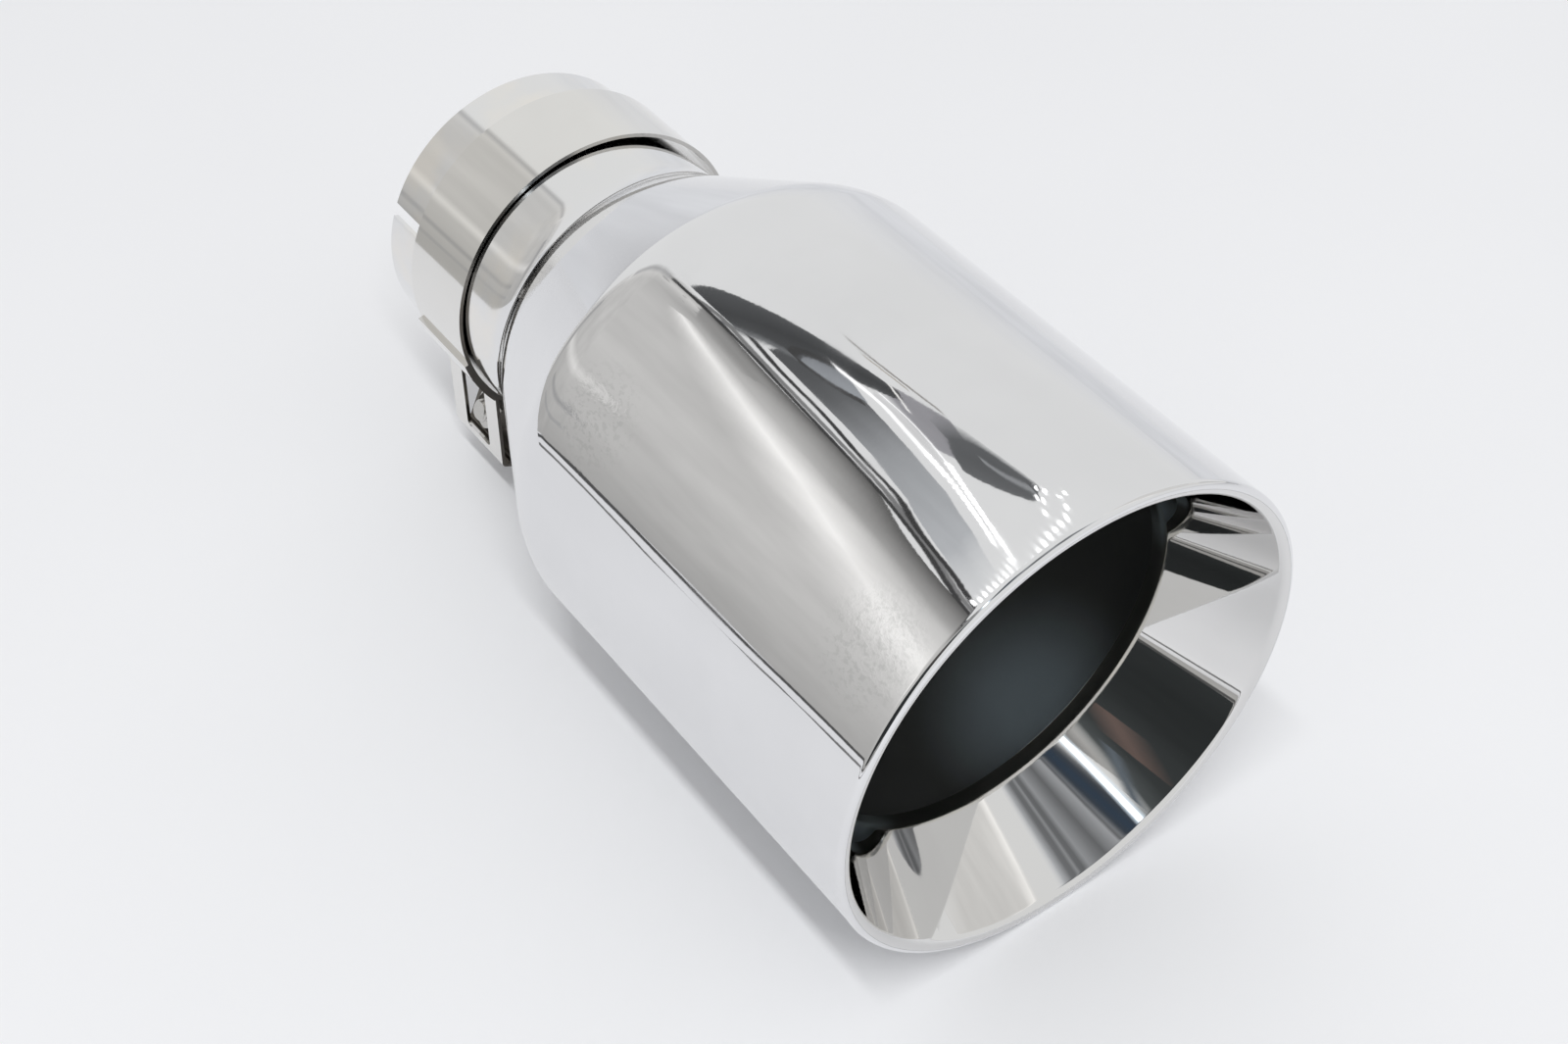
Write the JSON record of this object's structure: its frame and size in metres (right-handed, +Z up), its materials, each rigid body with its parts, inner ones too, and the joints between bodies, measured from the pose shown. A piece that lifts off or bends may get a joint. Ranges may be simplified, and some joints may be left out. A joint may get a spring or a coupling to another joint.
{
  "type": "exhaust tip",
  "caption": "Polished tail pipe tip: a slotted neck with a clamp strap flares to a round body with a bevelled mouth.",
  "frame": {"origin": "centre of the inlet's end", "axes": "+X along the axis from the inlet to the mouth, +Z up as the tip lies"},
  "size_m": [0.183, 0.1016, 0.1016],
  "materials": {
    "shell": "mirror-polished stainless steel",
    "mouth": "polished stainless steel",
    "strap": "polished stainless steel strip",
    "screw": "plain stainless steel"
  },
  "bodies": {
    "root": {"outer_shell": "shell", "mouth_cone": "mouth", "clamp_strap": "strap", "clamp_screw": "screw", "clamp_nut": "screw"}
  },
  "joints": []
}
